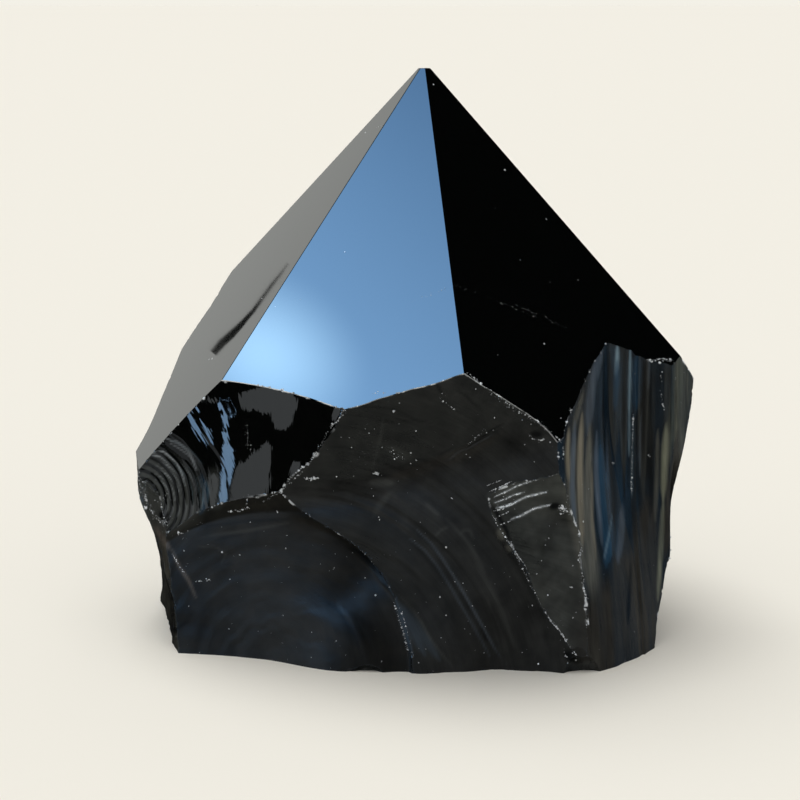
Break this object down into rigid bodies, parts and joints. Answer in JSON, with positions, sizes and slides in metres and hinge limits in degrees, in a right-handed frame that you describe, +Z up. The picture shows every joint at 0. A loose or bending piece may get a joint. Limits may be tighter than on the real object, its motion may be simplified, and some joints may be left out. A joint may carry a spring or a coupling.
{
  "type": "obsidian chunk",
  "caption": "Standing chunk of black volcanic glass: five polished facets rise to a tip over a rough base with shell-shaped fracture scars and a flat sawn foot.",
  "frame": {"origin": "on the foot's plane, under the middle of the stone's bounding box", "axes": "+Z up towards the polished tip; -Y towards the side with the largest polished facet and the overhanging brow; +X to the right as seen from that side"},
  "size_m": [0.1011, 0.0806, 0.1],
  "materials": {
    "obsidian": "polished"
  },
  "bodies": {
    "root": {"obsidian_chunk": "obsidian"}
  },
  "joints": []
}
